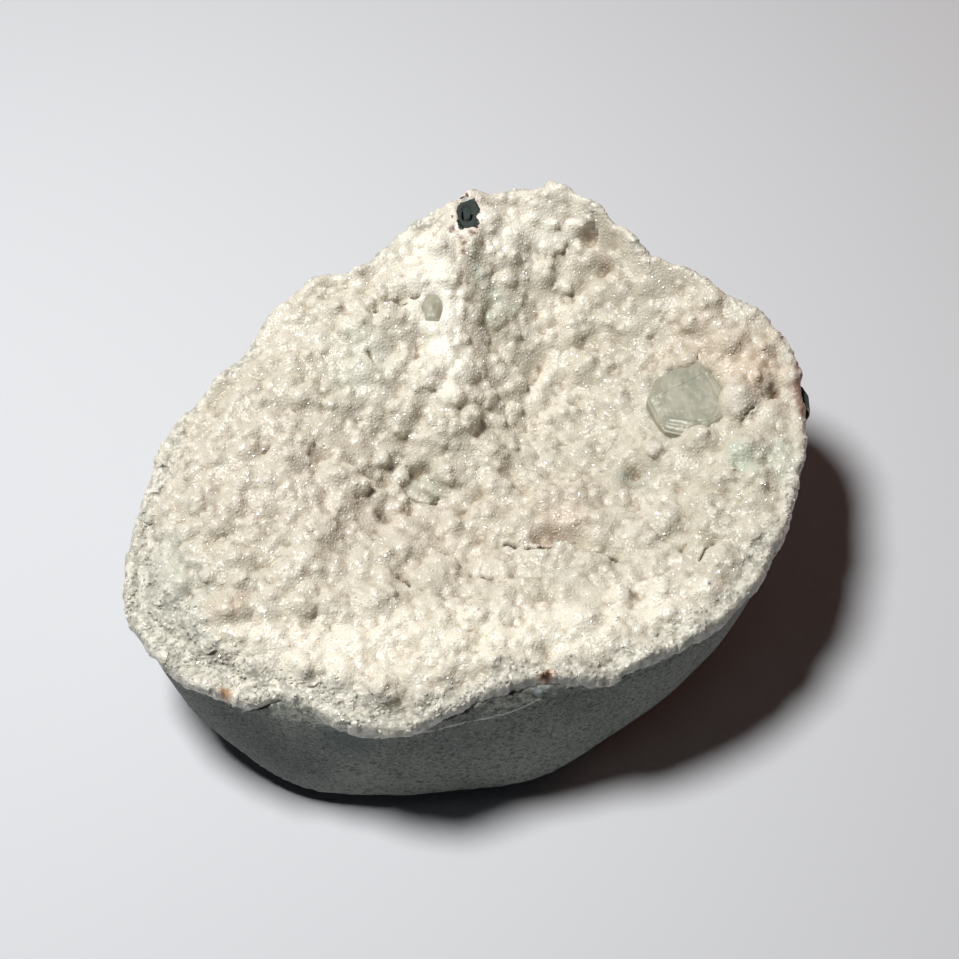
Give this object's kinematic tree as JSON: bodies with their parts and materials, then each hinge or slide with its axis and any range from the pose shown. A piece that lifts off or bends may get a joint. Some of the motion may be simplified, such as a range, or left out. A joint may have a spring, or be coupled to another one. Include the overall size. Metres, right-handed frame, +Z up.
{
  "type": "druzy chalcedony specimen",
  "caption": "Cream druzy chalcedony crust lining the hollow of a trimmed piece of dark basalt, with pale green crystals seated in it.",
  "frame": {"origin": "centre of the bounding box in plan, at the height of the flat face that the stone rests on", "axes": "+X along the stone's longest side, +Y from its low front rim towards its high back rim, +Z up"},
  "size_m": [0.107, 0.0946, 0.0435],
  "materials": {
    "basalt_matrix": "matt, fine-grained, trimmed",
    "chalcedony_crust": "sugary, covered in tiny quartz points",
    "green_crystal_plate": "pearly, cleaved, translucent",
    "small_green_crystal": "pearly, translucent"
  },
  "bodies": {
    "root": {"basalt_matrix": "basalt_matrix", "chalcedony_crust": "chalcedony_crust", "green_crystal_plate": "green_crystal_plate", "small_green_crystal": "small_green_crystal"}
  },
  "joints": []
}
